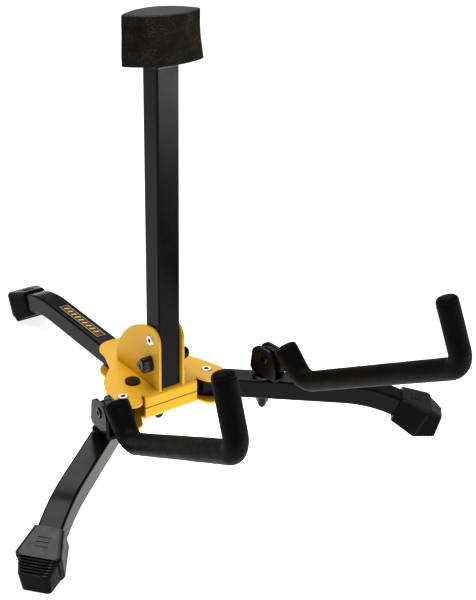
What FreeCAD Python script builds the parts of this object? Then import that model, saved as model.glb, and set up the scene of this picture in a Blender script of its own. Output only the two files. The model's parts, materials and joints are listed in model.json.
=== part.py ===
import FreeCAD, Part
import math
import os
import Sketcher

from FreeCAD import Placement, Rotation, Vector

# Folding tabletop stand for a small guitar: three rubber-footed legs on a two-plate hub, a folding
# square mast with a padded backrest, and two padded yoke arms, each on a swivelling clevis.
# Millimetres, +Z up, -Y to the front, where the instrument stands. Pieces are laid out about the
# mast's axis; BASE then moves them all so that the origin is the middle of the footprint.

os.makedirs("parts", exist_ok=True)
doc = FreeCAD.newDocument("GuitarStand")
X_AXIS, Y_AXIS, Z_AXIS = Vector(1, 0, 0), Vector(0, 1, 0), Vector(0, 0, 1)

DIMENSIONS = {
    # whole object
    "base_shift": -10.13,     # mast axis, ahead of the middle of the footprint
    "slip_fit": 0.05,         # radial running clearance of pins in holes
    # hub
    "hub_top": 43.5,          # upper face of the upper plate
    "hub_depth": 22.0,        # over both plates
    "plate_gauge": 2.0,
    "bend_outer": 3.5,        # outer radius of the folded edges
    "flange_half": 24.0,      # half length of the folded front edge
    "flange_face": 12.0,      # front face, ahead of the mast axis
    "flange_gap": 0.9,        # split line between the two folded edges
    "pivot_out": 39.0,        # front leg pivots, sideways from the mast axis
    "pivot_front": 3.0,       # and ahead of it
    "button_out": 21.0,
    "button_back": 12.2,
    "button_width": 12.0,
    "button_proud": 1.9,
    "hub_bolt_back": 8.0,
    "bracket_rivet_back": 36.0,
    "rear_pivot_back": 61.0,
    # mast bracket
    "ear_gap": 19.4,
    "ear_front": 12.6,
    "ear_back": 51.7,
    "ear_corner": 10.5,       # radius of the upper front corner
    "ear_sweep": 63.2,        # radius of the long rear curve
    "ear_sweep_front": 7.9,   # centre of that curve, ahead of the mast axis
    "ear_sweep_height": 31.9,
    "bracket_edge": 0.8,
    "pivot_height": 83.5,
    "lock_drop": 19.5,        # lock bolt, below the mast pivot
    "knob_edge": 2.0,
    # mast
    "tube_side": 19.0,
    "tube_wall": 1.5,
    "tube_corner": 1.6,
    "mast_bottom": 44.2,      # at the front; cut off at a slant
    "mast_slant": 3.3,        # rise of that cut towards the rear
    "mast_top": 299.7,
    # backrest
    "pad_bottom": 301.3,
    "pad_top": 338.0,
    "pad_half_width": 29.7,
    "pad_front_bulge": 10.0,
    "pad_back_bulge": 14.0,
    "pad_turn": -11.0,        # degrees that the pad is turned about the mast
    "spigot_width": 14.0,
    # legs
    "leg_width": 18.0,
    "leg_depth": 17.0,
    "leg_top": 41.0,
    "leg_corner": 2.0,
    "leg_splay": 49.4,        # degrees, front legs from straight ahead
    "leg_straight": 111.0,    # pivot to the start of the bend
    "leg_bend": 105.5,        # radius of the bend's centre line
    "leg_droop": 24.0,        # degrees
    "leg_end": 20.0,          # straight stretch inside the foot
    "rear_leg_start": 26.0,
    "rear_leg_back": 63.0,    # origin of the rear leg, behind the mast axis
    # rivets and bolts
    "rivet_shank": 6.0,
    "rivet_head": 9.0,
    "rivet_hole": 3.8,
    "rivet_head_height": 0.9,
    "bolt_width": 6.0,
    "swivel_bolt": 5.0,
    # yoke arms
    "arm_reach": 45.5,        # leg pivot to the swivel bolt
    "arm_yaw": 5.5,           # degrees that the arms open outwards
    "arm_pivot_front": 6.5,   # tilt pivot, ahead of the swivel bolt
    "arm_pivot_height": 61.3,
    "rod_width": 8.0,
    "sleeve_width": 16.0,
    "clevis_gap": 7.4,
    "clevis_gauge": 2.4,
    "clevis_lift": 2.4,       # above the leg, on the swivel washer
    "lug_gauge": 4.0,
}

sheet = doc.addObject("Spreadsheet::Sheet", "Dims")
for row, (word, value) in enumerate(DIMENSIONS.items(), start=1):
    sheet.set("A%d" % row, word)
    sheet.set("B%d" % row, str(value))
    sheet.setAlias("B%d" % row, word)
doc.recompute()


def dim(word):
    """A driving dimension, read back from the sheet."""
    return float(sheet.get(word))


HUB_TOP = dim("hub_top")
HUB_BOTTOM = HUB_TOP - dim("hub_depth")
GAUGE = dim("plate_gauge")
GAP_TOP = HUB_TOP - GAUGE
GAP_BOTTOM = HUB_BOTTOM + GAUGE
LEG_TOP = dim("leg_top")
LEG_BOTTOM = LEG_TOP - dim("leg_depth")
SLIP = dim("slip_fit")
SPLAY = dim("leg_splay")
EAR_OUT = dim("ear_gap") / 2 + GAUGE
MAST_PIVOT = Vector(0, 0, dim("pivot_height"))
LOCK = MAST_PIVOT - Vector(0, 0, dim("lock_drop"))
BASE = Placement(Vector(0, dim("base_shift"), 0), Rotation())

nodes = []


# ---- helpers -------------------------------------------------------------------------------

def put(thing, frame=Placement(), at=Vector(), turn=Rotation()):
    """Places a piece: its own move and turn inside a sub-assembly's frame, then the common base."""
    thing.Placement = BASE.multiply(frame).multiply(Placement(at, turn))
    return thing


def node(thing, name):
    """Names a finished piece and lists it for export."""
    thing.Label = name
    nodes.append(thing)
    return thing


def about_z(angle, at=Vector()):
    return Placement(at, Rotation(Z_AXIS, angle))


def rounded(corners):
    """Closed outline through (x, y, radius) corners: straight edges joined by tangent arcs."""
    points = [Vector(x, y, 0) for x, y, _ in corners]
    cuts = []
    for i, (_, _, radius) in enumerate(corners):
        here, before, after = points[i], points[i - 1], points[(i + 1) % len(points)]
        back, ahead = (before - here).normalize(), (after - here).normalize()
        if radius <= 0:
            cuts.append((here, None, here))
            continue
        half = back.getAngle(ahead) / 2
        reach = radius / math.tan(half)
        centre = here + (back + ahead).normalize() * (radius / math.sin(half))
        middle = centre + (here - centre).normalize() * radius
        cuts.append((here + back * reach, middle, here + ahead * reach))
    edges = []
    for i, (start, middle, end) in enumerate(cuts):
        if middle is not None:
            edges.append(Part.Arc(start, middle, end))
        following = cuts[(i + 1) % len(cuts)][0]
        if end.distanceToPoint(following) > 1e-6:
            edges.append(Part.LineSegment(end, following))
    return edges


def mirrored(half):
    """Full outline from its +X half, listed from front to back."""
    return half + [(-x, y, r) for x, y, r in reversed(half)]


def circle(x, y, radius):
    return [Part.Circle(Vector(x, y, 0), Z_AXIS, radius)]


def face_of(loop):
    """A flat face bounded by a loop."""
    return Part.Face(Part.Wire([edge.toShape() for edge in loop]))


def new_body(name):
    return doc.addObject("PartDesign::Body", name)


def plane_of(body, role):
    return next(f for f in body.Origin.OriginFeatures if f.Role == role)


def sketch_on(body, role, loops, height=0.0):
    """A sketch on one of the body's own origin planes, raised along that plane's normal."""
    sketch = body.newObject("Sketcher::SketchObject", body.Name + "Sketch")
    sketch.AttachmentSupport = [(plane_of(body, role), "")]
    sketch.MapMode = "FlatFace"
    sketch.AttachmentOffset = Placement(Vector(0, 0, height), Rotation())
    for loop in loops:
        first = sketch.GeometryCount
        sketch.addGeometry(loop, False)
        count = len(loop)
        for i in range(count if count > 1 else 0):
            join_ends(sketch, first + i, first + (i + 1) % count)
    return sketch


def join_ends(sketch, one, other):
    """Ties the ends at which two neighbouring edges already meet."""
    def gap(ends):
        return (sketch.getPoint(one, ends[0]) - sketch.getPoint(other, ends[1])).Length

    ends = min([(2, 1), (2, 2), (1, 1), (1, 2)], key=gap)
    sketch.addConstraint(Sketcher.Constraint("Coincident", one, ends[0], other, ends[1]))


def pad(body, role, loops, length, height=0.0, both_ways=False, upwards=True):
    """Adds an extruded outline. length is a number or an expression on the sheet."""
    feature = body.newObject("PartDesign::Pad", body.Name + "Pad")
    feature.Profile = sketch_on(body, role, loops, height)
    set_length(feature, length)
    feature.SideType = "Symmetric" if both_ways else "One side"
    feature.Reversed = not upwards
    doc.recompute()
    return feature


def pocket(body, role, loops, length, height=0.0, both_ways=False, upwards=True):
    """Cuts an extruded outline out of the body, and makes sure that it took material away."""
    before = body.Shape.Volume
    feature = body.newObject("PartDesign::Pocket", body.Name + "Pocket")
    feature.Profile = sketch_on(body, role, loops, height)
    set_length(feature, length)
    feature.SideType = "Symmetric" if both_ways else "One side"
    feature.Reversed = upwards
    doc.recompute()
    if not body.Shape.Volume < before - 1e-3:
        raise RuntimeError(body.Name + ": a pocket cuts nothing")
    return feature


def set_length(feature, length):
    if isinstance(length, str):
        feature.setExpression("Length", length)
    else:
        feature.Length = length


def edges_where(shape, test):
    return ["Edge%d" % (i + 1) for i, edge in enumerate(shape.Edges) if test(edge)]


def fillet(body, test, radius):
    """Rounds the body's edges that pass the test. radius is an expression on the sheet."""
    base = body.Tip
    names = edges_where(base.Shape, test)
    feature = body.newObject("PartDesign::Fillet", body.Name + "Fillet")
    feature.Base = (base, names)
    feature.setExpression("Radius", radius)
    doc.recompute()
    return feature


def rod(radius, height, at=Vector(), along=Z_AXIS):
    """A Part cylinder. radius and height are expressions on the sheet, or numbers."""
    thing = doc.addObject("Part::Cylinder", "Rod")
    for name, value in (("Radius", radius), ("Height", height)):
        if isinstance(value, str):
            thing.setExpression(name, value)
        else:
            setattr(thing, name, value)
    thing.Placement = Placement(at, Rotation(Z_AXIS, along))
    return thing


def cone(radius, tip_radius, height, at=Vector(), along=Z_AXIS):
    thing = doc.addObject("Part::Cone", "Cone")
    thing.Radius1, thing.Radius2, thing.Height = radius, tip_radius, height
    thing.Placement = Placement(at, Rotation(Z_AXIS, along))
    return thing


def hexagon(across_flats, height, at=Vector(), along=Z_AXIS):
    thing = doc.addObject("Part::Prism", "Hexagon")
    thing.Polygon, thing.Height = 6, height
    thing.Circumradius = across_flats / math.sqrt(3)
    thing.Placement = Placement(at, Rotation(Z_AXIS, along))
    return thing


def dome(radius, height, at=Vector(), along=Z_AXIS):
    """Half an ellipsoid, rising from a flat face."""
    thing = doc.addObject("Part::Ellipsoid", "Dome")
    thing.Radius1, thing.Radius2, thing.Radius3 = height, radius, radius
    thing.Angle1 = 0
    thing.Placement = Placement(at, Rotation(Z_AXIS, along))
    return thing


def fuse(*things):
    thing = doc.addObject("Part::MultiFuse", "Fuse")
    thing.Shapes = list(things)
    return thing


def cut(base, tool):
    thing = doc.addObject("Part::Cut", "Cut")
    thing.Base, thing.Tool = base, tool
    return thing


def group(*things):
    """Identical loose pieces that share a node, each its own solid."""
    thing = doc.addObject("Part::Compound", "Group")
    thing.Links = list(things)
    return thing


def shaped(shape):
    """A piece whose form no primitive or sketch feature fits."""
    thing = doc.addObject("Part::Feature", "Shaped")
    thing.Shape = shape
    return thing


def ring(outer, inner, height, at=Vector(), along=Z_AXIS):
    """A washer or bush: outer and inner are radii."""
    return cut(rod(outer, height, at, along), rod(inner, height, at, along))


# ---- hub -----------------------------------------------------------------------------------

BEND = dim("bend_outer")
FLANGE = dim("flange_half")
FLANGE_FACE = dim("flange_face")
HUB_OUTLINE = mirrored([
    (FLANGE, BEND - FLANGE_FACE, 0),
    (FLANGE + 1.6, BEND - FLANGE_FACE + 1.3, 0.8),   # relief notch beside the folded edge
    (32.5, -24.5, 8.0),                              # front lobe
    (53.0, -11.0, 9.0),
    (45.8, 11.0, 20.0),                              # side
    (39.5, 26.0, 7.0),                               # shoulder
    (23.5, 43.0, 14.0),                              # waist
    (17.0, 62.0, 12.0),
    (15.5, 82.2, 14.3),                              # rear lobe
])
FLANGE_LENGTH = dim("hub_depth") / 2 - dim("flange_gap") / 2
LEG_PIVOTS = {side: Vector(sign * dim("pivot_out"), -dim("pivot_front"), 0)
              for side, sign in (("left", -1), ("right", 1))}
BUTTONS = {side: Vector(sign * dim("button_out"), dim("button_back"), 0)
           for side, sign in (("left", -1), ("right", 1))}
HUB_BOLT = Vector(0, dim("hub_bolt_back"), 0)
BRACKET_RIVET = Vector(0, dim("bracket_rivet_back"), 0)
REAR_PIVOT = Vector(0, dim("rear_pivot_back"), 0)
REAR_LEG_BACK = dim("rear_leg_back")


def hub_plate(name, holes):
    """Pressed plate, outer face at height 0 and the folded front edge hanging below it."""
    body = new_body(name)
    pad(body, "XY_Plane", [rounded(HUB_OUTLINE)], "Dims.plate_gauge", upwards=False)
    inner = BEND - GAUGE
    lip = rounded([
        (BEND - FLANGE_FACE + 1.0, 0, 0),
        (-FLANGE_FACE, 0, BEND),
        (-FLANGE_FACE, -FLANGE_LENGTH, 0),
        (GAUGE - FLANGE_FACE, -FLANGE_LENGTH, 0),
        (GAUGE - FLANGE_FACE, -GAUGE, inner),
        (BEND - FLANGE_FACE + 1.0, -GAUGE, 0),
    ])
    pad(body, "YZ_Plane", [lip], "2 * Dims.flange_half", both_ways=True)
    for at, radius in holes:
        pocket(body, "XY_Plane", [circle(at.x, at.y, radius)], "Dims.plate_gauge", upwards=False)
    return body


def make_hub():
    shank = dim("rivet_shank") / 2 + SLIP
    bolt = dim("bolt_width") / 2 + SLIP
    pins = [(LEG_PIVOTS["left"], shank), (LEG_PIVOTS["right"], shank), (HUB_BOLT, bolt),
            (BRACKET_RIVET, shank), (REAR_PIVOT, shank)]
    button_holes = [(at, dim("button_width") / 2 + SLIP) for at in BUTTONS.values()]
    upper = put(hub_plate("UpperPlate", pins + button_holes), at=Vector(0, 0, HUB_TOP))
    node(upper, "upper_hub_plate")
    lower = put(hub_plate("LowerPlate", pins), at=Vector(0, 0, HUB_BOTTOM),
                turn=Rotation(Y_AXIS, 180))
    node(lower, "lower_hub_plate")


def make_mast_bracket():
    """Channel bolted on the hub: a floor between two ears that hold the mast."""
    front, back, floor = -dim("ear_front"), dim("ear_back"), HUB_TOP
    corner, sweep = dim("ear_corner"), dim("ear_sweep")
    centre = Vector(-dim("ear_sweep_front"), dim("ear_sweep_height"), 0)
    nose = Vector(front + corner, 0, 0)
    nose.y = centre.y + math.sqrt((sweep - corner) ** 2 - (nose.x - centre.x) ** 2)
    touch = centre + (nose - centre).normalize() * sweep
    shoulder = Vector(back, centre.y + math.sqrt(sweep ** 2 - (back - centre.x) ** 2), 0)
    sweep_mid = centre + (shoulder + touch - centre * 2).normalize() * sweep
    corner_mid = nose + ((touch - nose).normalize() - X_AXIS).normalize() * corner
    side = [
        Part.LineSegment(Vector(front, floor, 0), Vector(back, floor, 0)),
        Part.LineSegment(Vector(back, floor, 0), shoulder),
        Part.Arc(shoulder, sweep_mid, touch),
        Part.Arc(touch, corner_mid, Vector(front, nose.y, 0)),
        Part.LineSegment(Vector(front, nose.y, 0), Vector(front, floor, 0)),
    ]
    body = new_body("MastBracket")
    pad(body, "YZ_Plane", [side], "Dims.ear_gap + 2 * Dims.plate_gauge", both_ways=True)

    def bottom_edge(edge):
        box = edge.BoundBox
        return box.ZMax < floor + 1e-3 and abs(abs(box.Center.x) - EAR_OUT) < 1e-3 \
            and box.YLength > 10

    fillet(body, bottom_edge, "Dims.bracket_edge")
    half, deep = dim("ear_gap") / 2, floor + GAUGE
    above = floor + 2 * sweep
    channel = rounded([(-half, deep, 0.5), (half, deep, 0.5), (half, above, 0), (-half, above, 0)])
    pocket(body, "XZ_Plane", [channel], 4 * back, both_ways=True)
    # the floor stops under the mast, whose front wall reaches down to the hub
    ahead = rounded([(-half, front - 1, 0), (half, front - 1, 0), (half, 0, 0), (-half, 0, 0)])
    pocket(body, "XY_Plane", [ahead], GAUGE + 1, height=deep + 0.5, upwards=False)
    for at, radius in ((MAST_PIVOT, dim("rivet_shank") / 2), (LOCK, dim("bolt_width") / 2)):
        pocket(body, "YZ_Plane", [circle(at.y, at.z, radius + SLIP)], 4 * EAR_OUT, both_ways=True)
    for at, radius in ((HUB_BOLT, dim("bolt_width") / 2), (BRACKET_RIVET, dim("rivet_shank") / 2)):
        pocket(body, "XY_Plane", [circle(at.x, at.y, radius + SLIP)], GAUGE + 1,
               height=deep + 0.5, upwards=False)
    node(put(body), "mast_bracket")


def rivet(low, high, at=Vector(), along=Z_AXIS):
    """Tubular rivet along an axis, with a rolled head outside each of its two end faces."""
    head = dim("rivet_head_height")
    start = at + along * low
    length = high - low
    shank = rod("Dims.rivet_shank / 2", length, start, along)
    heads = [cone(dim("rivet_head") / 2, dim("rivet_head") / 2 - 0.8, head, at + along * high, along),
             cone(dim("rivet_head") / 2, dim("rivet_head") / 2 - 0.8, head, start, along * -1)]
    bore = rod("Dims.rivet_hole / 2", length + 2 * head, start - along * head, along)
    return cut(fuse(shank, *heads), bore)


def dome_nut(at, across, body_height, dome_height, bolt_radius, stem):
    """Hexagon nut hanging below a face, closed by a dome, with a blind hole for the bolt."""
    down = Z_AXIS * -1
    collar = rod(across * 0.62, 1.2, at, down)
    nut = hexagon(across, body_height, at, down)
    crown = dome(across * 0.44, dome_height, at + down * body_height, down)
    return cut(fuse(collar, nut, crown), rod(bolt_radius + SLIP, stem, at, down))


def make_hub_fasteners():
    for side, at in LEG_PIVOTS.items():
        piece = rivet(HUB_BOTTOM, HUB_TOP, at)
        node(put(piece), side + "_leg_rivet")
    rivets = group(rivet(HUB_BOTTOM, HUB_TOP + GAUGE, BRACKET_RIVET),
                   rivet(HUB_BOTTOM, HUB_TOP, REAR_PIVOT))
    node(put(rivets), "rear_leg_rivets")

    stem_end = HUB_BOTTOM - 11.0
    stem = rod("Dims.bolt_width / 2", HUB_TOP + GAUGE - stem_end, HUB_BOLT + Z_AXIS * stem_end)
    bolt = fuse(stem, rod(4.9, 0.6, HUB_BOLT + Z_AXIS * (HUB_TOP + GAUGE)))
    node(put(bolt), "hub_bolt")
    spacer = ring(5.0, dim("bolt_width") / 2 + SLIP, GAP_TOP - GAP_BOTTOM,
                  HUB_BOLT + Z_AXIS * GAP_BOTTOM)
    node(put(spacer), "hub_spacer")
    nut = dome_nut(HUB_BOLT + Z_AXIS * HUB_BOTTOM, 10.0, 9.6, 6.2, dim("bolt_width") / 2, 11.2)
    node(put(nut), "hub_dome_nut")


def make_washers():
    """Nylon washers above and below each front leg, on its rivet."""
    thickness = GAP_TOP - LEG_TOP
    washers = [ring(8.0, dim("rivet_shank") / 2 + SLIP, thickness, at + Z_AXIS * height)
               for at in LEG_PIVOTS.values() for height in (GAP_BOTTOM, LEG_TOP)]
    node(put(group(*washers)), "leg_washers")


def make_buttons():
    """Round release buttons in the upper plate, each on a coil spring over a guide post."""
    proud, radius = dim("button_proud"), dim("button_width") / 2
    flange_top = GAP_TOP
    for side, at in BUTTONS.items():
        cap = rod("Dims.button_width / 2", HUB_TOP + proud - flange_top, at + Z_AXIS * flange_top)
        collar = rod(radius + 1.2, 1.2, at + Z_AXIS * (flange_top - 1.2))
        skirt = rod(radius, 6.0, at + Z_AXIS * (flange_top - 7.2))
        hollow = rod(radius - 1.2, 6.0, at + Z_AXIS * (flange_top - 7.2))
        node(put(cut(fuse(cap, collar, skirt), hollow)), side + "_lock_button")
        foot = rod(radius, 1.5, at + Z_AXIS * GAP_BOTTOM)
        post = rod(2.4, 9.0, at + Z_AXIS * GAP_BOTTOM)
        node(put(fuse(foot, post)), side + "_button_post")
        wire, mean, turns = 0.8, 3.6, 5
        low, high = GAP_BOTTOM + 1.5 + wire / 2, flange_top - 1.2 - wire / 2
        helix = Part.makeHelix((high - low) / turns, high - low, mean)
        start = Part.Wire(Part.Circle(Vector(mean, 0, 0), Y_AXIS, wire / 2).toShape())
        coil = Part.Wire(helix.Edges).makePipeShell([start], True, True)
        node(put(shaped(coil), at=at + Z_AXIS * low), side + "_button_spring")


def make_lock():
    """Clamp bolt through both ears below the mast pivot: nut cover on the right, knob on the left."""
    in_knob, in_cover = EAR_OUT + 6.5, EAR_OUT + 7.8
    stem = rod("Dims.bolt_width / 2", in_knob + in_cover, LOCK - X_AXIS * in_knob, X_AXIS)
    node(put(group(stem)), "lock_bolt")
    cover = rod(5.4, 7.0, LOCK + X_AXIS * EAR_OUT, X_AXIS)
    crown = dome(5.2, 4.8, LOCK + X_AXIS * (EAR_OUT + 7.0), X_AXIS)
    hollow = rod(dim("bolt_width") / 2 + SLIP, 8.1, LOCK + X_AXIS * EAR_OUT, X_AXIS)
    node(put(cut(fuse(cover, crown), hollow)), "lock_nut_cover")

    corners, reach, lobe = 3, 3.6, 3.2
    collar, outer = EAR_OUT + 0.3, EAR_OUT + 9.6
    triangle = []
    for i in range(corners):
        angle = math.radians(-12 + i * 360 / corners)
        tip = Vector(math.cos(angle), math.sin(angle), 0) * (reach + 2 * lobe)
        triangle.append((LOCK.y + tip.x, LOCK.z + tip.y, lobe))
    knob = new_body("LockKnob")
    pad(knob, "YZ_Plane", [rounded(triangle)], outer - collar - 0.5, height=-(collar + 0.5),
        upwards=False)

    def outer_edge(edge):
        return edge.BoundBox.XMax < 1e-3 - outer

    fillet(knob, outer_edge, "Dims.knob_edge")
    pad(knob, "YZ_Plane", [circle(LOCK.y, LOCK.z, 4.6)], 1.0, height=-collar, upwards=False)
    pocket(knob, "YZ_Plane", [circle(LOCK.y, LOCK.z, dim("bolt_width") / 2 + SLIP)],
           in_knob + 0.1 - collar, height=-collar, upwards=False)
    pocket(knob, "YZ_Plane", [circle(LOCK.y, LOCK.z, 1.5)], 0.5, height=-outer)
    node(put(knob), "lock_knob")
    node(put(rivet(-EAR_OUT, EAR_OUT, MAST_PIVOT, X_AXIS)), "mast_pivot_rivet")


# ---- mast and backrest ---------------------------------------------------------------------

SPIGOT_LENGTH = 22.0


def square(side, radius):
    half = side / 2
    return rounded([(half, -half, radius), (half, half, radius),
                    (-half, half, radius), (-half, -half, radius)])


def make_mast():
    side, wall = dim("tube_side"), dim("tube_wall")
    bottom, top = dim("mast_bottom"), dim("mast_top")
    inside = side - 2 * wall
    tube = new_body("MastTube")
    pad(tube, "XY_Plane", [square(side, dim("tube_corner")), square(inside, 0.9)],
        "Dims.mast_top - Dims.mast_bottom", height=bottom)
    slant = dim("mast_slant")
    rear, over = side / 2, slant / side
    wedge = rounded([(-rear - 1, bottom - over, 0), (rear + 1, bottom - 2, 0),
                     (rear + 1, bottom + slant + over, 0)])
    pocket(tube, "YZ_Plane", [wedge], 2 * side, both_ways=True)
    shank = dim("rivet_shank") / 2 + SLIP
    pocket(tube, "YZ_Plane", [circle(0, MAST_PIVOT.z, shank)], 2 * side, both_ways=True)
    # hook slot: round seat on the lock bolt, open to the rear along an arc about the mast pivot
    drop, room = dim("lock_drop"), dim("bolt_width") / 2 + 2 * SLIP

    def on_arc(radius, degrees):
        angle = math.radians(degrees)
        return Vector(radius * math.sin(angle), MAST_PIVOT.z - radius * math.cos(angle), 0)

    opened = 42.0
    inner, outer = drop - room, drop + room
    slot = [
        Part.Arc(on_arc(outer, 0), Vector(-room, LOCK.z, 0), on_arc(inner, 0)),
        Part.Arc(on_arc(inner, 0), on_arc(inner, opened / 2), on_arc(inner, opened)),
        Part.LineSegment(on_arc(inner, opened), on_arc(outer, opened)),
        Part.Arc(on_arc(outer, opened), on_arc(outer, opened / 2), on_arc(outer, 0)),
    ]
    pocket(tube, "YZ_Plane", [slot], 2 * side, both_ways=True)
    node(put(tube), "mast_tube")

    clear = inside - 2 * SLIP
    plug = new_body("BottomPlug")
    pad(plug, "XY_Plane", [square(clear, 0.9)], 11.0, height=bottom + slant + 0.3)
    node(put(plug), "mast_bottom_plug")
    bush = ring(4.6, shank, clear, MAST_PIVOT - X_AXIS * (clear / 2), X_AXIS)
    node(put(bush), "mast_pivot_bush")

    cap = new_body("TopPlug")
    pad(cap, "XY_Plane", [square(clear, 0.9)], 14.0, height=top, upwards=False)
    pad(cap, "XY_Plane", [square(side, dim("tube_corner"))], 1.3, height=top)
    spigot = dim("spigot_width") / 2
    pad(cap, "XY_Plane", [circle(0, 0, spigot)], SPIGOT_LENGTH, height=top)
    pocket(cap, "XY_Plane", [circle(0, 0, 1.9)], 18.0, height=top + SPIGOT_LENGTH, upwards=False)
    node(put(cap), "mast_top_plug")

    washer_low = top + SPIGOT_LENGTH
    washer = rod(8.2, 1.2, Z_AXIS * washer_low)
    head = rod(4.0, 2.6, Z_AXIS * (washer_low + 1.2))
    stem = rod(1.85, 17.0, Z_AXIS * (washer_low - 15.8))
    node(put(fuse(washer, head, stem)), "backrest_screw")


def make_backrest():
    """Foam block, crescent in plan, round a moulded core that turns on the mast's spigot."""
    bottom, top = dim("pad_bottom"), dim("pad_top")
    turned = about_z(dim("pad_turn"))
    core_low, core_high = bottom + 0.2, dim("mast_top") + SPIGOT_LENGTH - 0.1

    def core():
        hub = rod(9.0, core_high - core_low, Z_AXIS * core_low)
        wings = doc.addObject("Part::Box", "Wings")
        wings.Length, wings.Width, wings.Height = 36.0, 8.0, core_high - core_low - 6.0
        wings.Placement.Base = Vector(-18, -4, core_low + 3.0)
        return fuse(hub, wings)

    bore = rod(dim("spigot_width") / 2 + SLIP, 40.0, Z_AXIS * (core_low - 5))
    node(put(cut(core(), bore), turned), "backrest_core")

    half, nose = dim("pad_half_width"), 1.2
    shift = -1.6
    front, back = shift - dim("pad_front_bulge"), shift + dim("pad_back_bulge")
    near, far = shift - nose / 2, shift + nose / 2
    right, left = half - nose, nose - half
    outline = [
        Part.Arc(Vector(right, near, 0), Vector(0, front, 0), Vector(left, near, 0)),
        Part.Arc(Vector(left, near, 0), Vector(-half, shift, 0), Vector(left, far, 0)),
        Part.Arc(Vector(left, far, 0), Vector(0, back, 0), Vector(right, far, 0)),
        Part.Arc(Vector(right, far, 0), Vector(half, shift, 0), Vector(right, near, 0)),
    ]
    block = new_body("BackrestFoam")
    pad(block, "XY_Plane", [outline], "Dims.pad_top - Dims.pad_bottom", height=bottom)
    throat = rod(9.0, core_low - bottom + 0.5, Z_AXIS * bottom)
    head_room = rod(9.0, 7.0, Z_AXIS * (core_high - 0.5))
    node(put(cut(block, fuse(core(), throat, head_room)), turned), "backrest_foam")


# ---- legs ----------------------------------------------------------------------------------
# A leg lies along its frame's +X from its pivot; heights are those of the whole stand.

DROOP = math.radians(dim("leg_droop"))
SWIVEL = dim("swivel_bolt") / 2
LEG_LINE = (LEG_TOP + LEG_BOTTOM) / 2


def leg_band(start, half_depth, extra=0.0):
    """Side outline of a leg: straight, bent down, then straight into the foot."""
    bend_at, radius = dim("leg_straight"), dim("leg_bend")
    stretch = dim("leg_end") + extra

    def bent(offset, angle):
        reach = radius + offset
        return Vector(bend_at + reach * math.sin(angle),
                      LEG_LINE - radius + reach * math.cos(angle), 0)

    along = Vector(math.cos(DROOP), -math.sin(DROOP), 0) * stretch
    sides = []
    for offset in (half_depth, -half_depth):
        sides.append((Vector(start, LEG_LINE + offset, 0), bent(offset, 0),
                      bent(offset, DROOP / 2), bent(offset, DROOP), bent(offset, DROOP) + along))
    (t0, t1, t2, t3, t4), (b0, b1, b2, b3, b4) = sides
    return [Part.LineSegment(t0, t1), Part.Arc(t1, t2, t3), Part.LineSegment(t3, t4),
            Part.LineSegment(t4, b4), Part.LineSegment(b4, b3), Part.Arc(b3, b2, b1),
            Part.LineSegment(b1, b0), Part.LineSegment(b0, t0)]


def leg_tube(name, start, round_end, holes):
    half, wall = dim("leg_width") / 2, dim("tube_wall")
    deep = dim("leg_depth") / 2
    body = new_body(name)
    pad(body, "XZ_Plane", [leg_band(start, deep)], "Dims.leg_width", both_ways=True)

    def long_edge(edge):
        box = edge.BoundBox
        return abs(abs(box.Center.y) - half) < 1e-3 and box.YLength < 1e-3 and box.XLength > 15

    fillet(body, long_edge, "Dims.leg_corner")
    pocket(body, "XZ_Plane", [leg_band(start - 1, deep - wall, 1.0)],
           "Dims.leg_width - 2 * Dims.tube_wall", both_ways=True)
    if round_end:
        out = half + 0.5
        waste = [Part.Arc(Vector(0, -half, 0), Vector(-half, 0, 0), Vector(0, half, 0)),
                 Part.LineSegment(Vector(0, half, 0), Vector(0, out, 0)),
                 Part.LineSegment(Vector(0, out, 0), Vector(start - 1, out, 0)),
                 Part.LineSegment(Vector(start - 1, out, 0), Vector(start - 1, -out, 0)),
                 Part.LineSegment(Vector(start - 1, -out, 0), Vector(0, -out, 0)),
                 Part.LineSegment(Vector(0, -out, 0), Vector(0, -half, 0))]
        pocket(body, "XY_Plane", [waste], 4 * LEG_TOP, both_ways=True)
    for at, radius in holes:
        pocket(body, "XY_Plane", [circle(at, 0, radius + SLIP)], 4 * LEG_TOP, both_ways=True)
    return body


def leg_plug(name, outline, bore_at, bore):
    """Moulded insert that closes a leg's inner end."""
    wall = dim("tube_wall") + SLIP
    body = new_body(name)
    pad(body, "XY_Plane", [outline], LEG_TOP - LEG_BOTTOM - 2 * wall, height=LEG_BOTTOM + wall)
    pocket(body, "XY_Plane", [circle(bore_at, 0, bore)], 4 * LEG_TOP, both_ways=True)
    return body


FOOT_MOUTH = ((157.9, 33.4, 11.0), (149.4, 12.8, 10.6))   # reach, height, half width: top, bottom
FOOT_WIDEST = ((178.4, 26.1, 16.6), (167.2, 1.5, 14.0))   # where the sides turn in
FOOT_BROW = ((181.0, 25.2, 15.1), (169.5, 0.0, 12.5))     # where the ribs start
FOOT_NOSE = ((190.0, 17.4, 11.8), (185.5, 0.0, 10.6))     # outer end
FOOT_EDGE = 3.0                                           # rounding of the upper long edges
RIBS = 6
RIB_INSET, RIB_ROOT = 0.35, 1.5        # narrower than the sleeve, and rooted inside it


def between(a, b, share):
    return a + (b - a) * share


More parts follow.
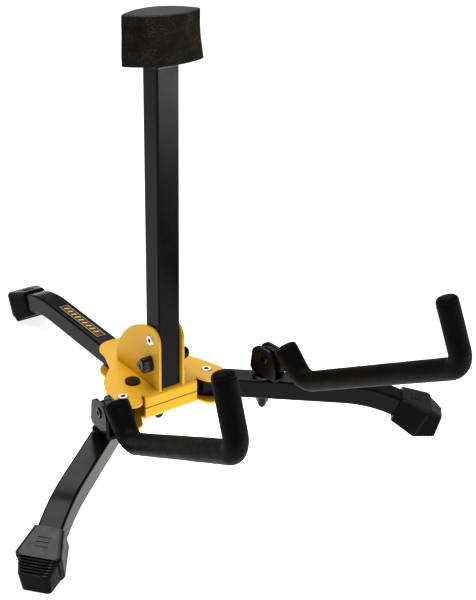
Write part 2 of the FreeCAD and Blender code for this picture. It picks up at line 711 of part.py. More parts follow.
def foot_shape():
    """Flared rubber sleeve whose nose steps in and down in equal terraces."""
    shoulders = [(FOOT_EDGE * (1 - math.sin(a)), FOOT_EDGE * (1 - math.cos(a)))
                 for a in (math.radians(30 * i) for i in range(4))]    # in from side, down from top

    def frame_wire(top, bottom):
        (ts, tz, tw), (bs, bz, bw) = top, bottom
        right = [Vector(between(ts, bs, down / (tz - bz)), tw - inset, tz - down)
                 for down, inset in shoulders]
        left = [Vector(v.x, -v.y, v.z) for v in reversed(right)]
        return Part.makePolygon([Vector(bs, -bw, bz), Vector(bs, bw, bz)] + right + left
                                + [Vector(bs, -bw, bz)])

    def terrace_wire(z, back, front, wide, round_off):
        loop = rounded([(back, wide, 0), (back, -wide, 0), (front, -wide, round_off),
                        (front, wide, round_off)])
        wire = Part.Wire([edge.toShape() for edge in loop])
        wire.translate(Z_AXIS * z)
        return wire

    sleeve = [frame_wire(*section) for section in (FOOT_MOUTH, FOOT_WIDEST, FOOT_BROW)]
    foot = Part.makeLoft(sleeve, True, True)
    (brow_s, brow_z, brow_w), (heel_s, _, heel_w) = FOOT_BROW
    (nose_s, nose_z, nose_w), (toe_s, _, toe_w) = FOOT_NOSE
    for i in range(RIBS):
        inner, outer = i / RIBS, (i + 1) / RIBS
        height = between(brow_z, nose_z, outer)
        low_front, high_front = between(heel_s, toe_s, outer), between(brow_s, nose_s, outer)
        low_wide = between(heel_w, toe_w, inner) - RIB_INSET
        high_wide = between(brow_w, nose_w, inner) - RIB_INSET
        wires = [terrace_wire(0.0, heel_s - RIB_ROOT, low_front, low_wide, 3.2)]
        for down, inset in shoulders:
            share = (height - down) / height
            back = between(heel_s, brow_s, (height - down) / brow_z) - RIB_ROOT
            wires.append(terrace_wire(height - down, back, between(low_front, high_front, share),
                                      between(low_wide, high_wide, share) - inset, 4.0))
        foot = foot.fuse(Part.makeLoft(wires, True, True))
    slope = Vector(brow_s - FOOT_MOUTH[0][0], 0, brow_z - FOOT_MOUTH[0][1]).normalize()
    middle = Vector(169.0, 0, 29.46)
    for step in (-3.6, 0.0, 3.6):
        bar = Part.makeBox(1.3, 9.0, 1.2, Vector(-0.65, -4.5, -0.8))
        bar.Placement = Placement(middle + slope * step, Rotation(X_AXIS, slope))
        foot = foot.fuse(bar)
    half = dim("leg_width") / 2
    socket = face_of(leg_band(120.0, dim("leg_depth") / 2))
    socket.rotate(Vector(), X_AXIS, 90)
    socket.translate(Vector(0, half, 0))
    return foot.cut(socket.extrude(Vector(0, -2 * half, 0))).removeSplitter()


def swivel_fasteners(side, frame):
    """Bolt, spacing washer and dome nut that hold a yoke arm's clevis on the leg."""
    at = Vector(dim("arm_reach"), 0, 0)
    head_low = CLEVIS_FLOOR + dim("clevis_gauge") + 0.1
    stem_low = LEG_BOTTOM - 8.0
    stem = rod("Dims.swivel_bolt / 2", head_low - stem_low, at + Z_AXIS * stem_low)
    head = rod(3.0, 2.8, at + Z_AXIS * head_low)
    node(put(fuse(stem, head), frame), side + "_swivel_bolt")
    washer = ring(8.5, SWIVEL + SLIP, dim("clevis_lift") - 0.1, at + Z_AXIS * LEG_TOP)
    node(put(washer, frame), side + "_swivel_washer")
    nut = dome_nut(at + Z_AXIS * LEG_BOTTOM, 8.6, 6.6, 6.0, SWIVEL, 8.2)
    node(put(nut, frame), side + "_swivel_nut")


def make_front_leg(side, frame):
    half = dim("leg_width") / 2
    holes = [(0.0, dim("rivet_shank") / 2), (dim("arm_reach"), SWIVEL)]
    tube = leg_tube(side.title() + "Leg", -half, True, holes)
    node(put(tube, frame), side + "_leg")
    side_gap = half - dim("tube_wall") - SLIP
    nose = half - 0.1
    back = -math.sqrt(nose * nose - side_gap * side_gap)
    outline = [Part.Arc(Vector(back, side_gap, 0), Vector(-nose, 0, 0), Vector(back, -side_gap, 0)),
               Part.LineSegment(Vector(back, -side_gap, 0), Vector(16, -side_gap, 0)),
               Part.LineSegment(Vector(16, -side_gap, 0), Vector(16, side_gap, 0)),
               Part.LineSegment(Vector(16, side_gap, 0), Vector(back, side_gap, 0))]
    bush = 4.5
    plug = leg_plug(side.title() + "LegPlug", outline, 0.0, bush + SLIP)
    node(put(plug, frame), side + "_leg_plug")
    inside = dim("leg_depth") - 2 * dim("tube_wall") - 2 * SLIP
    sleeve = ring(bush, dim("rivet_shank") / 2 + SLIP, inside,
                  Z_AXIS * (LEG_BOTTOM + dim("tube_wall") + SLIP))
    node(put(sleeve, frame), side + "_leg_bush")
    node(put(shaped(foot_shape()), frame), side + "_foot")
    swivel_fasteners(side, frame)


def make_rear_leg():
    frame = about_z(90, Vector(0, REAR_LEG_BACK, 0))
    start = dim("rear_leg_start") - REAR_LEG_BACK
    rivets = [(pivot.y - REAR_LEG_BACK, dim("rivet_shank") / 2)
              for pivot in (BRACKET_RIVET, REAR_PIVOT)]
    node(put(leg_tube("RearLeg", start, False, rivets), frame), "rear_leg")
    gap = dim("leg_width") / 2 - dim("tube_wall") - SLIP
    outline = rounded([(start + 0.3, -gap, 0), (start + 18, -gap, 0),
                       (start + 18, gap, 0), (start + 0.3, gap, 0)])
    plug = leg_plug("RearLegPlug", outline, rivets[0][0], rivets[0][1] + SLIP)
    node(put(plug, frame), "rear_leg_plug")
    node(put(shaped(foot_shape()), frame), "rear_foot")

    low, high, half = 33.5, 100.5, 4.4
    label = new_body("Label")
    pad(label, "XY_Plane", [rounded([(low, -half, 1.6), (high, -half, 1.6),
                                     (high, half, 1.6), (low, half, 1.6)])], 0.3, height=LEG_TOP)
    node(put(label, frame), "rear_leg_label")


# ---- yoke arms -----------------------------------------------------------------------------
# An arm lies in its frame's XZ plane, +X forwards from the swivel bolt's axis.

CLEVIS_FLOOR = LEG_TOP + dim("clevis_lift")
TILT_PIVOT = Vector(dim("arm_pivot_front"), 0, dim("arm_pivot_height"))
ARM_CORNERS = [          # forward, height, bend radius of the rod's centre line
    (25.1, 75.8, 0.0),
    (47.2, 56.1, 16.0),
    (196.8, 134.3, 12.5),
    (177.7, 176.0, 0.0),
]


def arm_path():
    """Centre line of the bent rod, in the XZ plane."""
    points = [Vector(x, 0, z) for x, z, _ in ARM_CORNERS]
    edges, start = [], points[0]
    for before, here, after, (_, _, radius) in zip(points, points[1:], points[2:],
                                                   ARM_CORNERS[1:]):
        back, ahead = (before - here).normalize(), (after - here).normalize()
        half = back.getAngle(ahead) / 2
        reach = radius / math.tan(half)
        centre = here + (back + ahead).normalize() * (radius / math.sin(half))
        middle = centre + (here - centre).normalize() * radius
        first, last = here + back * reach, here + ahead * reach
        edges += [Part.LineSegment(start, first).toShape(), Part.Arc(first, middle, last).toShape()]
        start = last
    edges.append(Part.LineSegment(start, points[-1]).toShape())
    return Part.Wire(edges), points


def swept(path, start, along, radius):
    profile = Part.Wire(Part.Circle(start, along, radius).toShape())
    return path.makePipeShell([profile], True, True)


def make_clevis(side, frame):
    gauge = dim("clevis_gauge")
    half = dim("clevis_gap") / 2 + gauge
    top = TILT_PIVOT.z + 8.2
    body = new_body(side.title() + "Clevis")
    outline = rounded([(-4.8, CLEVIS_FLOOR, 0), (18.7, CLEVIS_FLOOR, 0), (18.3, top, 8.4),
                       (-6.2, top, 9.0), (-8.7, 48.6, 2.0)])
    pad(body, "XZ_Plane", [outline], 2 * half, both_ways=True)

    def floor_edge(edge):
        box = edge.BoundBox
        return box.ZMax < CLEVIS_FLOOR + 1e-3 and abs(abs(box.Center.y) - half) < 1e-3

    fillet(body, floor_edge, "Dims.clevis_gauge + 0.8")
    gap, deep = dim("clevis_gap") / 2, CLEVIS_FLOOR + gauge
    channel = rounded([(-gap, deep, 0.8), (gap, deep, 0.8), (gap, top + 5, 0), (-gap, top + 5, 0)])
    pocket(body, "YZ_Plane", [channel], 120.0, both_ways=True)
    pocket(body, "XZ_Plane", [circle(TILT_PIVOT.x, TILT_PIVOT.z, dim("rivet_shank") / 2 + SLIP)],
           4 * half, both_ways=True)
    pocket(body, "XY_Plane", [circle(0, 0, SWIVEL + SLIP)], gauge + 1, height=deep + 0.5,
           upwards=False)
    node(put(body, frame), side + "_arm_clevis")
    node(put(rivet(-half, half, TILT_PIVOT, Y_AXIS), frame), side + "_arm_rivet")


def make_arm(side, frame):
    path, points = arm_path()
    first, last = points[0], points[-1]
    out = (first - points[1]).normalize()
    up = (last - points[-2]).normalize()
    steel = dim("rod_width") / 2
    core = swept(path, first, out, steel)
    node(put(shaped(core), frame), side + "_arm_rod")

    gauge = dim("lug_gauge")
    eye = 8.4
    x, z = TILT_PIVOT.x, TILT_PIVOT.z
    outline = rounded([(x - eye, z + eye, eye - 0.1), (x - eye, z - eye, eye - 0.1),
                       (x + 13.5, z - eye, 5.0), (38.4, 64.0, 0), (28.4, 72.8, 0),
                       (x + 14.0, z + eye, 2.0)])
    face = face_of(outline)
    face.rotate(Vector(), X_AXIS, 90)
    face.translate(Vector(0, gauge / 2, 0))
    blank = face.extrude(Vector(0, -gauge, 0))
    hole = Part.makeCylinder(dim("rivet_shank") / 2 + SLIP, 4 * gauge,
                             TILT_PIVOT - Y_AXIS * (2 * gauge), Y_AXIS)
    node(put(shaped(blank.cut(core).cut(hole)), frame), side + "_arm_lug")

    sleeve = swept(path, first, out, dim("sleeve_width") / 2)
    bore = swept(path, first, out, steel + SLIP)
    node(put(shaped(sleeve.cut(bore).cut(blank)), frame), side + "_arm_foam")
    round_end = dim("sleeve_width") / 2
    caps = group(dome(round_end, 3.0, first, out), dome(round_end, 5.0, last, up))
    node(put(caps, frame), side + "_arm_caps")

    thick = (dim("clevis_gap") - gauge) / 2 - 0.1
    washers = [ring(7.6, dim("rivet_shank") / 2 + SLIP, thick, TILT_PIVOT + Y_AXIS * (turn * gauge / 2),
                    Y_AXIS * turn) for turn in (1, -1)]
    node(put(group(*washers), frame), side + "_arm_washers")


# ---- build ---------------------------------------------------------------------------------

make_hub()
make_mast_bracket()
make_hub_fasteners()
make_washers()
make_buttons()
make_lock()
make_mast()
make_backrest()
make_rear_leg()
for side, sign in (("left", -1), ("right", 1)):
    # frames look along the leg, and along the arm that stands on it
    leg = about_z(-90 + sign * SPLAY, LEG_PIVOTS[side])
    bolt = leg.multVec(Vector(dim("arm_reach"), 0, 0))
    arm = about_z(-90 + sign * dim("arm_yaw"), bolt)
    make_front_leg(side, leg)
    make_clevis(side, arm)
    make_arm(side, arm)

# ---- check and export ----------------------------------------------------------------------

doc.recompute()
failed = [thing.Label for thing in doc.Objects
          if "Invalid" in thing.State or "Error" in thing.State]
if failed:
    raise RuntimeError("failed objects: " + ", ".join(failed))
for piece in nodes:
    shape = piece.Shape
    if shape.isNull() or not shape.isValid() or not shape.Solids:
        raise RuntimeError("bad shape: " + piece.Label)
    shape.exportStep("parts/" + piece.Label + ".step")
    box = shape.BoundBox
    print("%-20s solids %d volume %9.1f  x %7.1f %7.1f  y %7.1f %7.1f  z %6.1f %6.1f" % (
        piece.Label, len(shape.Solids), shape.Volume, box.XMin, box.XMax, box.YMin, box.YMax,
        box.ZMin, box.ZMax))
whole = Part.makeCompound([piece.Shape for piece in nodes]).BoundBox
print(len(nodes), "nodes", whole)
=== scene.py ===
import json
import math

import bpy
from mathutils import Matrix, Vector, noise


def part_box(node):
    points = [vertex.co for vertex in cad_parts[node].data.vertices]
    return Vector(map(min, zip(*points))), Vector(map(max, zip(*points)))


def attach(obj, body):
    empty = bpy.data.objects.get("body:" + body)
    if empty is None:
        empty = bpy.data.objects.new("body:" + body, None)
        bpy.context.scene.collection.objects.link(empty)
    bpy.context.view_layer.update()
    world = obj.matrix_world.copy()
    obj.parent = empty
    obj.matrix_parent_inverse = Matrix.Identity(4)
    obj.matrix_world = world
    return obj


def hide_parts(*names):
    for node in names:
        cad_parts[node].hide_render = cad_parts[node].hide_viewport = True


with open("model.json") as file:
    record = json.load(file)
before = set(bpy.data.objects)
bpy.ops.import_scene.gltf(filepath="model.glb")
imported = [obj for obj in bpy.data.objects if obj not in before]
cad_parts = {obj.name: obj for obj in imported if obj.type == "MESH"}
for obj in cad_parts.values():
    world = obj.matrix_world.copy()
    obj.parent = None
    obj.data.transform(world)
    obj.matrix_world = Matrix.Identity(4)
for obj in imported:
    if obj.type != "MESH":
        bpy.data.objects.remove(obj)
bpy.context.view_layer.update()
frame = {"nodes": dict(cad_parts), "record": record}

# Folding stand for a small guitar. Metres, Z up, -Y to the front; MM turns drawing sizes into metres.

MM = 0.001
NODES = frame["nodes"]
Z_AXIS = Vector((0, 0, 1))


def middle_of(node):
    low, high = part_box(node)
    return (low + high) / 2


# ---- materials -----------------------------------------------------------------------------

class Look:
    """A node material under construction: a principled shader and textures in object space."""

    def __init__(self, name, color, roughness, **sockets):
        self.material = bpy.data.materials.new(name)
        self.material.use_nodes = True
        self.tree = self.material.node_tree
        self.shader = self.tree.nodes["Principled BSDF"]
        self.color = (*color, 1.0)
        self.shader.inputs["Base Color"].default_value = self.color
        self.shader.inputs["Roughness"].default_value = roughness
        for socket, value in sockets.items():
            self.shader.inputs[socket.replace("_", " ")].default_value = value
        self.place = self.node("ShaderNodeTexCoord").outputs["Object"]
        self.normal = None

    def node(self, kind, **settings):
        made = self.tree.nodes.new(kind)
        for name, value in settings.items():
            setattr(made, name, value)
        return made

    def link(self, source, target):
        self.tree.links.new(source, target)

    def stretched(self, scale):
        mapping = self.node("ShaderNodeMapping")
        mapping.inputs["Scale"].default_value = scale
        self.link(self.place, mapping.inputs["Vector"])
        return mapping.outputs["Vector"]

    def noise(self, size, detail=3.0, roughness=0.55, stretch=(1, 1, 1)):
        """Noise whose features are about size metres across."""
        texture = self.node("ShaderNodeTexNoise")
        texture.inputs["Scale"].default_value = 1 / size
        texture.inputs["Detail"].default_value = detail
        texture.inputs["Roughness"].default_value = roughness
        self.link(self.stretched(stretch), texture.inputs["Vector"])
        return texture.outputs["Fac"]

    def cells(self, size):
        """Distance from the middle of foam cells about size metres apart."""
        texture = self.node("ShaderNodeTexVoronoi")
        texture.inputs["Scale"].default_value = 1 / size
        self.link(self.place, texture.inputs["Vector"])
        return texture.outputs["Distance"]

    def separated(self, vector):
        axes = self.node("ShaderNodeSeparateXYZ")
        self.link(vector, axes.inputs["Vector"])
        return axes.outputs

    def away_from(self, point):
        """Distance from a fixed point."""
        gap = self.node("ShaderNodeVectorMath", operation="DISTANCE")
        self.link(self.place, gap.inputs[0])
        gap.inputs[1].default_value = point
        return gap.outputs["Value"]

    def remap(self, value, low, high, to_low=0.0, to_high=1.0):
        ramp = self.node("ShaderNodeMapRange")
        for name, number in (("From Min", low), ("From Max", high), ("To Min", to_low),
                             ("To Max", to_high)):
            ramp.inputs[name].default_value = number
        self.link(value, ramp.inputs["Value"])
        return ramp.outputs["Result"]

    def math(self, operation, *values):
        step = self.node("ShaderNodeMath", operation=operation)
        for socket, value in zip(step.inputs, values):
            if isinstance(value, (int, float)):
                socket.default_value = value
            else:
                self.link(value, socket)
        return step.outputs["Value"]

    def tint(self, other, share, under=None):
        """Mixes another colour over the base, by share."""
        mix = self.node("ShaderNodeMix", data_type="RGBA")
        self.link(share, mix.inputs["Factor"])
        if under is None:
            mix.inputs["A"].default_value = self.color
        else:
            self.link(under, mix.inputs["A"])
        mix.inputs["B"].default_value = (*other, 1.0)
        self.link(mix.outputs["Result"], self.shader.inputs["Base Color"])
        return mix.outputs["Result"]

    def upward(self, low=0.15, high=0.75):
        """1 on faces that look up, 0 on upright ones and below."""
        normal = self.node("ShaderNodeTexCoord").outputs["Normal"]
        return self.remap(self.separated(normal)["Z"], low, high)

    def shine(self, sides, tops):
        """Specular level of upright faces and of upward ones, which are handled and polished."""
        self.link(self.remap(self.upward(), 0.0, 1.0, sides, tops),
                  self.shader.inputs["Specular IOR Level"])

    def rough(self, value, low, high, to_low, to_high):
        self.link(self.remap(value, low, high, to_low, to_high), self.shader.inputs["Roughness"])

    def bump(self, height, depth, strength=1.0):
        """Raises the surface by a height map; several calls stack."""
        bump = self.node("ShaderNodeBump")
        bump.inputs["Distance"].default_value = depth
        bump.inputs["Strength"].default_value = strength
        self.link(height, bump.inputs["Height"])
        if self.normal is not None:
            self.link(self.normal, bump.inputs["Normal"])
        self.normal = bump.outputs["Normal"]
        self.link(self.normal, self.shader.inputs["Normal"])


def painted(name, color, shade, roughness, **sockets):
    """Sprayed enamel: orange peel, faint dust, slight colour drift."""
    look = Look(name, color, roughness, **sockets)
    look.tint(shade, look.remap(look.noise(60 * MM, 2.0), 0.35, 0.7))
    haze = look.noise(25 * MM, 5.0, 0.65)
    look.rough(haze, 0.3, 0.7, roughness - 0.04, roughness + 0.07)
    look.bump(look.noise(2.6 * MM, 1.0), 0.03 * MM, 0.5)
    look.bump(look.noise(0.5 * MM, 2.0), 0.008 * MM, 0.4)
    return look


def foam(name, color, light, cell, depth, roughness, **sockets):
    """Closed-cell foam: fine skin cells, scuffs and a dusty bloom."""
    look = Look(name, color, roughness, **sockets)
    pores = look.cells(cell)
    scuffs = look.math("MULTIPLY", look.remap(look.noise(14 * MM, 4.0, 0.6), 0.42, 0.68),
                       look.remap(look.noise(1.1 * MM, 3.0, 0.7), 0.4, 0.75))
    look.tint(light, scuffs)
    look.rough(look.noise(6 * MM, 3.0), 0.3, 0.7, roughness - 0.06, roughness + 0.06)
    look.bump(look.remap(pores, 0.0, 0.7), depth, 0.6)
    look.bump(look.noise(0.9 * MM, 3.0, 0.65), depth * 1.5, 0.5)
    return look


def rubber(name, color, painted_top_light, roughness):
    """Moulded rubber whose upper faces carry painted top light: a paler colour, in blotches, stands
    in for light falling on them.
    """
    look = Look(name, color, roughness)
    blotches = look.remap(look.noise(18 * MM, 4.0, 0.6), 0.25, 0.6, 0.5, 1.0)
    # painted top light: upward faces are tinted paler, in blotches, as if lit from above
    look.tint(painted_top_light, look.math("MULTIPLY", look.upward(), blotches))
    look.shine(0.05, 0.45)
    look.rough(look.noise(5 * MM, 4.0), 0.3, 0.7, roughness - 0.06, roughness + 0.08)
    look.bump(look.noise(0.45 * MM, 3.0, 0.7), 0.05 * MM, 0.6)
    return look


def metal(name, color, roughness, grain=(1, 1, 12)):
    look = Look(name, color, roughness, Metallic=1.0)
    look.tint([c * 0.72 for c in color], look.remap(look.noise(3 * MM, 4.0, 0.6), 0.35, 0.7))
    look.rough(look.noise(1.5 * MM, 3.0), 0.3, 0.7, roughness - 0.06, roughness + 0.1)
    look.bump(look.noise(0.6 * MM, 2.0, 0.6, grain), 0.012 * MM, 0.5)
    return look


def plastic(name, color, roughness, **sockets):
    look = Look(name, color, roughness, **sockets)
    look.tint([c * 1.5 for c in color], look.remap(look.noise(8 * MM, 3.0), 0.4, 0.7))
    look.rough(look.noise(2 * MM, 3.0), 0.3, 0.7, roughness - 0.05, roughness + 0.05)
    look.bump(look.noise(0.35 * MM, 2.0), 0.02 * MM, 0.4)
    return look


def label_look():
    """Black foil strip with a thin gold frame round a row of slanted gold bars."""
    gold = (0.83, 0.50, 0.10)
    low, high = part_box("rear_leg_label")
    centre, half = (low + high) / 2, (high - low) / 2
    look = Look("label_foil", (0.012, 0.012, 0.012), 0.32, Specular_IOR_Level=0.4)
    place = look.separated(look.place)
    x = look.math("SUBTRACT", place["X"], centre.x)
    y = look.math("SUBTRACT", place["Y"], centre.y)
    across = look.math("SUBTRACT", look.math("ABSOLUTE", x), half.x)
    along = look.math("SUBTRACT", look.math("ABSOLUTE", y), half.y)
    inside = look.math("MULTIPLY", look.math("MAXIMUM", across, along), -1.0)
    border = look.math("MULTIPLY", look.math("GREATER_THAN", inside, 0.45 * MM),
                       look.math("LESS_THAN", inside, 0.95 * MM))
    slant = look.math("ADD", y, look.math("MULTIPLY", x, 0.45))
    stripe = look.math("LESS_THAN", look.math("FRACT", look.math("DIVIDE", slant, 6.4 * MM)), 0.42)
    band = look.math("LESS_THAN", look.math("ABSOLUTE", x), 2.1 * MM)
    span = look.math("LESS_THAN", look.math("ABSOLUTE", y), half.y - 4 * MM)
    bars = look.math("MULTIPLY", look.math("MULTIPLY", stripe, band), span)
    look.tint(gold, look.math("MAXIMUM", border, bars))
    look.bump(look.noise(1.2 * MM, 3.0), 0.02 * MM, 0.5)
    return look


def backrest_look():
    """Coarse foam, browner in the scuffs; paler at the top, partly the open cells of the face cut
    across there and partly painted top light.
    """
    look = Look("backrest_padding", (0.012, 0.0102, 0.0085), 0.8, Specular_IOR_Level=0.12)
    grain = look.remap(look.noise(0.9 * MM, 3.0, 0.7), 0.44, 0.66)
    scuffs = look.math("MULTIPLY", look.remap(look.noise(12 * MM, 4.0, 0.6), 0.38, 0.62), grain)
    side = look.tint((0.060, 0.053, 0.045), scuffs)
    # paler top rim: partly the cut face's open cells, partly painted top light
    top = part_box("backrest_foam")[1].z
    cut_and_lit_top = look.remap(look.separated(look.place)["Z"], top - 1.6 * MM, top - 0.5 * MM)
    look.tint((0.125, 0.112, 0.104), look.math("MULTIPLY", cut_and_lit_top, look.remap(grain, 0.0, 1.0, 0.6)),
              under=side)
    look.rough(look.noise(6 * MM, 3.0), 0.3, 0.7, 0.74, 0.86)
    look.bump(look.remap(look.cells(1.0 * MM), 0.0, 0.7), 0.16 * MM, 0.6)
    look.bump(look.noise(0.9 * MM, 3.0, 0.65), 0.24 * MM, 0.5)
    return look


LOOKS = {
    "yellow_plate": painted("yellow_plate", (0.84, 0.51, 0.036), (0.82, 0.475, 0.03), 0.34),
    "black_steel": painted("black_steel", (0.006, 0.0056, 0.0058), (0.008, 0.0075, 0.0075), 0.18),
    "bare_steel": painted("bare_steel", (0.006, 0.006, 0.006), (0.009, 0.008, 0.008), 0.2,
                          Specular_IOR_Level=0.16),
    "blackened_hardware": metal("blackened_hardware", (0.026, 0.024, 0.023), 0.2),
    "zinc_hardware": metal("zinc_hardware", (0.95, 0.93, 0.90), 0.36),
    "spring_steel": metal("spring_steel", (0.5, 0.5, 0.5), 0.28),
    "button_plastic": plastic("button_plastic", (0.010, 0.007, 0.005), 0.3,
                              Specular_IOR_Level=0.35),
    "knob_plastic": plastic("knob_plastic", (0.006, 0.006, 0.006), 0.14,
                            Specular_IOR_Level=0.5),
    "nylon": plastic("nylon", (0.008, 0.008, 0.009), 0.28, Specular_IOR_Level=0.5),
    "plug_plastic": plastic("plug_plastic", (0.008, 0.008, 0.009), 0.32,
                            Specular_IOR_Level=0.35),
    "foot_rubber": rubber("foot_rubber", (0.0045, 0.004, 0.0038), (0.022, 0.0215, 0.0225), 0.36),
    "arm_padding": foam("arm_padding", (0.0048, 0.0040, 0.0038), (0.0095, 0.0085, 0.0075),
                        0.7 * MM, 0.035 * MM, 0.55, Specular_IOR_Level=0.1),
    "backrest_padding": backrest_look(),
    "label_foil": label_look(),
}

LOOKS["black_steel"].shine(0.11, 0.24)
LOOKS["yellow_plate"].shine(0.18, 0.42)

for part in frame["record"]["subparts"]:
    shown = NODES[part["node"]]
    shown.data.materials.clear()
    shown.data.materials.append(LOOKS[part["material_slot"]].material)


# ---- modelled soft pieces ------------------------------------------------------------------

def make_piece(name, slot, rings, body):
    """A skin over rings of points, all of one length, capped at both ends, riding on a body."""
    count = len(rings[0])
    points = [point for ring in rings for point in ring]
    faces = []
    for r in range(len(rings) - 1):
        for i in range(count):
            j = (i + 1) % count
            faces.append((r * count + i, r * count + j, (r + 1) * count + j, (r + 1) * count + i))
    faces.append(tuple(reversed(range(count))))
    faces.append(tuple(range(len(points) - count, len(points))))
    mesh = bpy.data.meshes.new(name)
    mesh.from_pydata(points, [], faces)
    mesh.polygons.foreach_set("use_smooth", [True] * len(faces))
    mesh.materials.append(LOOKS[slot].material)
    mesh.update()
    piece = bpy.data.objects.new(name, mesh)
    bpy.context.scene.collection.objects.link(piece)
    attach(piece, body)
    return piece


ARM_YAW = math.radians(5.5)
# corners of an arm's centre line: forward of the swivel bolt, height, bend radius
ARM_CORNERS = [(25.1, 75.8, 0.0), (47.2, 56.1, 16.0), (196.8, 134.3, 12.5), (177.7, 176.0, 0.0)]
SLEEVE = 8.0 * MM
SWELL, SWELL_LENGTH = 1.4 * MM, 38 * MM      # the sleeve is thicker towards its inner end
SEAM = 0.25 * MM                             # how far the sleeve draws in under its caps
CAP_HEIGHTS, CAP_STEPS = (3.0 * MM, 5.0 * MM), 12


def smooth(share):
    share = min(1.0, max(0.0, share))
    return share * share * (3 - 2 * share)


def arm_line(step):
    """Points along an arm's centre line, about step apart: (forward, height), with its heading."""
    corners = [Vector(corner[:2]) * MM for corner in ARM_CORNERS]
    line = []

    def run(start, end):
        heading = (end - start).normalized()
        count = max(2, round((end - start).length / step))
        for i in range(count):
            line.append((start.lerp(end, i / count), heading))

    start = corners[0]
    for before, here, after, (_, _, radius) in zip(corners, corners[1:], corners[2:],
                                                   ARM_CORNERS[1:]):
        back, ahead = (before - here).normalized(), (after - here).normalized()
        half = back.angle(ahead) / 2
        reach = radius * MM / math.tan(half)
        centre = here + (back + ahead).normalized() * (radius * MM / math.sin(half))
        run(start, here + back * reach)
        turn = math.pi - 2 * half
        side = 1 if back.cross(ahead) < 0 else -1
        spoke = here + back * reach - centre
        count = max(4, round(turn * radius * MM / step * 1.4))
        for i in range(count):
            angle = side * turn * i / count
            rotated = Matrix.Rotation(angle, 2) @ spoke
            heading = Matrix.Rotation(side * math.pi / 2, 2) @ rotated.normalized()
            line.append((centre + rotated, heading))
        start = here + ahead * reach
    run(start, corners[-1])
    line.append((corners[-1], (corners[-1] - corners[-2]).normalized()))
    return line


def arm_point(origin, forward, sideways, at, across):
    return origin + forward * at.x + Z_AXIS * at.y + sideways * across


def arm_ring(origin, forward, sideways, at, heading, radius, seed=0.0, sides=56):
    """A ring round the arm's line, with the foam's slight unevenness."""
    lift = Vector((-heading.y, heading.x))
    ring = []
    for i in range(sides):
        angle = 2 * math.pi * i / sides
        offset = lift * math.cos(angle)
        point = arm_point(origin, forward, sideways, at + offset * radius,
                          math.sin(angle) * radius)
        if seed:
            uneven = noise.noise(point * 70 + Vector((seed, 0, 0))) * 0.16 * MM
            point += (arm_point(origin, forward, sideways, offset, math.sin(angle))
                      - origin) * uneven
        ring.append(point)
    return ring


def make_arm(side, sign):
    bolt = middle_of(side + "_swivel_washer")
    origin = Vector((bolt.x, bolt.y, 0))
    forward = Vector((sign * math.sin(ARM_YAW), -math.cos(ARM_YAW), 0))
    sideways = forward.cross(Z_AXIS)
    body = side + "_arm"
    line = arm_line(1.6 * MM)
    rings = []
    travelled = 0.0
    for i, (at, heading) in enumerate(line):
        if i:
            travelled += (at - line[i - 1][0]).length
        swell = SWELL * smooth(1 - travelled / SWELL_LENGTH)
        rings.append(arm_ring(origin, forward, sideways, at, heading, SLEEVE + swell,
                              seed=3.0 + sign))
    ends = [(line[0][0], -line[0][1], line[0][1], SLEEVE + SWELL),
            (line[-1][0], line[-1][1], line[-1][1], SLEEVE)]
    tucked = [arm_ring(origin, forward, sideways, at - out * 0.1 * MM, heading, radius - SEAM)
              for at, out, heading, radius in ends]
    sleeve = make_piece(side + "_arm_sleeve", "arm_padding", [tucked[0]] + rings[1:-1]
                        + [tucked[1]], body)
    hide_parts(side + "_arm_foam")
    for number, ((at, out, heading, radius), height) in enumerate(zip(ends, CAP_HEIGHTS)):
        stack = []
        for k in range(CAP_STEPS + 1):
            rise = math.radians(88.0 * k / CAP_STEPS)
            level = at + out * (height * math.sin(rise))
            stack.append(arm_ring(origin, forward, sideways, level, heading,
                                  (radius - 0.05 * MM) * math.cos(rise) ** 0.62))
        skirt = arm_ring(origin, forward, sideways, at - out * 0.6 * MM, heading,
                         radius - 0.3 * MM)
        if number == 0:
            stack = [list(reversed(ring)) for ring in [skirt] + stack]
        else:
            stack = [skirt] + stack
        cap = make_piece("%s_arm_cap_%d" % (side, number + 1), "arm_padding", stack, body)
    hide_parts(side + "_arm_caps")


def backrest_outline(count):
    """Plan of the foam block as points (along, across, 0): two bowed sides that meet in blunt noses."""
    half, front, back, nose = 29.7 * MM, 10.0 * MM, 14.0 * MM, 0.9 * MM
    points = []
    for i in range(count):
        angle = 2 * math.pi * i / count
        along = math.cos(angle)
        bulge = back if math.sin(angle) > 0 else front
        bow = (1 - along * along) * bulge
        tip = nose * math.sin(angle)
        points.append(Vector((half * along, math.copysign(bow, math.sin(angle)) + tip, 0)))
    return points


# how far the block's right nose draws in at the top edge, and how it spreads towards the lower one
NOSE_IN, NOSE_SPREAD, NOSE_CURVE = 0.012, 0.109, 2.5


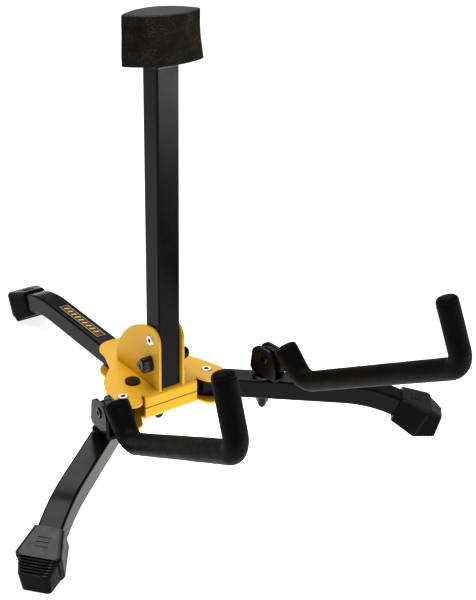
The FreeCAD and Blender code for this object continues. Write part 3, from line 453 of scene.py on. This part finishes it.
def make_backrest():
    low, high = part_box("backrest_foam")
    mast = middle_of("mast_tube")
    turn = Matrix.Rotation(math.radians(-11.0), 3, "Z")
    centre = Vector((mast.x, mast.y, 0)) + turn @ Vector((0, -1.6 * MM, 0))
    outline = backrest_outline(220)
    edge = 1.3 * MM
    height = high.z - low.z
    half = max(point.x for point in outline)

    def ring(level, inset, shrink=1.0):
        loop = []
        flare = NOSE_SPREAD * (1 - (level - low.z) / height) ** NOSE_CURVE - NOSE_IN
        for flat in outline:
            stretch = shrink * (1 + flare * max(0.0, flat.x / half) ** 2)
            point = Vector((flat.x * stretch, flat.y * shrink, 0))
            if point.length > 0:
                point -= point.normalized() * inset
            place = centre + turn @ point + Z_AXIS * level
            lump = noise.noise(place * 55) * 0.45 * MM + noise.noise(place * 190) * 0.16 * MM
            outward = (turn @ point).normalized() if point.length > 1e-6 else Vector()
            loop.append(place + outward * (lump - 0.35 * MM))
        return loop

    def face_ring(share, face, side):
        loop = ring(face, edge, share)
        for point in loop:
            dent = noise.noise(point * 90) * 0.35 * MM - 0.3 * MM
            point.z += side * dent
        return loop

    shares = [0.02, 0.25, 0.45, 0.62, 0.76, 0.87, 0.95]
    corner_steps, rows = 5, 26
    corner = [(edge * (1 - math.cos(math.pi / 2 * k / corner_steps)),
               edge * (1 - math.sin(math.pi / 2 * k / corner_steps)))
              for k in range(corner_steps + 1)]
    rings = [face_ring(share, low.z + 0.1 * MM, -1) for share in shares]
    rings += [ring(low.z + rise, inset) for rise, inset in corner]
    rings += [ring(low.z + edge + (height - 2 * edge) * k / rows, 0) for k in range(1, rows)]
    rings += [ring(high.z - rise, inset) for rise, inset in reversed(corner)]
    rings += [face_ring(share, high.z - 0.1 * MM, 1) for share in reversed(shares)]
    block = make_piece("backrest_block", "backrest_padding", rings, "backrest")
    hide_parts("backrest_foam")


make_backrest()
for side, sign in (("left", -1), ("right", 1)):
    make_arm(side, sign)


# ---- floor, light, camera ------------------------------------------------------------------

FLOOR_REACH = 6.0
CAMERA_FROM_MAST = Vector((-476.7, -751.7, 559.7)) * MM
CAMERA_AZIMUTH, CAMERA_PITCH, CAMERA_ROLL = -36.09, 26.52, 1.17      # degrees
LENS, SENSOR = 77.92, 36.0                                           # millimetres


def make_floor():
    """White sheet lit from below, which swallows the shadows; brighter under the stand and, out of
    sight, to its front right, and dimmer far behind."""
    mesh = bpy.data.meshes.new("floor")
    corners = [(x * FLOOR_REACH, y * FLOOR_REACH, 0) for x, y in ((-1, -1), (1, -1), (1, 1), (-1, 1))]
    mesh.from_pydata(corners, [], [(0, 1, 2, 3)])
    floor = bpy.data.objects.new("floor", mesh)
    bpy.context.scene.collection.objects.link(floor)
    look = Look("floor_paper", (0.45, 0.45, 0.45), 1.0, Specular_IOR_Level=0.0,
                Emission_Color=(1.0, 1.0, 1.0, 1.0))
    glow = look.remap(look.away_from((0.03, -0.09, 0.0)), 0.10, 0.24, 1.7, 0.74)
    side_glow = look.remap(look.away_from((0.75, -0.95, 0.0)), 0.25, 0.65, 9.0, 0.0)
    place = look.separated(look.place)
    backward = look.math("SUBTRACT", place["Y"], place["X"])
    dimmer = look.remap(backward, 0.7, 1.3, 0.0, -0.3)
    strength = look.math("ADD", look.math("ADD", glow, side_glow), dimmer)
    look.link(strength, look.shader.inputs["Emission Strength"])
    mesh.materials.append(look.material)


def soft_light(name, at, target, size, radiance):
    """A softbox, out of the camera's sight, as bright as radiance wherever it is seen."""
    lamp = bpy.data.lights.new(name, "AREA")
    lamp.shape = "RECTANGLE"
    lamp.size, lamp.size_y = size
    lamp.energy = radiance * math.pi * size[0] * size[1]
    light = bpy.data.objects.new(name, lamp)
    light.location = at
    light.rotation_euler = (Vector(target) - Vector(at)).to_track_quat("-Z", "Y").to_euler()
    light.visible_camera = False
    bpy.context.scene.collection.objects.link(light)


def make_lights():
    world = bpy.data.worlds.new("studio")
    world.use_nodes = True
    background = world.node_tree.nodes["Background"]
    background.inputs["Color"].default_value = (1.0, 1.0, 1.0, 1.0)
    background.inputs["Strength"].default_value = 0.22
    bpy.context.scene.world = world
    soft_light("overhead", (-0.2, 0.25, 1.6), (0, 0, 0), (1.3, 1.3), 3.5)
    soft_light("sheen", (0.60, 0.85, 1.0), (0, 0, 0.1), (1.0, 0.6), 2.0)


def make_camera():
    azimuth, pitch, roll = (math.radians(angle) for angle in (CAMERA_AZIMUTH, CAMERA_PITCH,
                                                              CAMERA_ROLL))
    ahead = Vector((-math.sin(azimuth) * math.cos(pitch), math.cos(azimuth) * math.cos(pitch),
                    -math.sin(pitch)))
    right = Vector((math.cos(azimuth), math.sin(azimuth), 0))
    up = right.cross(ahead)
    tilted_right = right * math.cos(roll) + up * math.sin(roll)
    tilted_up = up * math.cos(roll) - right * math.sin(roll)
    data = bpy.data.cameras.new("camera")
    data.lens, data.sensor_width = LENS, SENSOR
    camera = bpy.data.objects.new("camera", data)
    turn = Matrix((tilted_right, tilted_up, -ahead)).transposed().to_4x4()
    mast = middle_of("mast_tube")
    foot_of_mast = Vector((mast.x, mast.y, 0))
    camera.matrix_world = Matrix.Translation(foot_of_mast + CAMERA_FROM_MAST) @ turn
    bpy.context.scene.collection.objects.link(camera)
    bpy.context.scene.camera = camera


make_floor()
make_lights()
make_camera()
bpy.context.scene.view_settings.view_transform = "Standard"
bpy.context.scene.view_settings.exposure = 0.2
bpy.context.scene.view_settings.gamma = 0.85
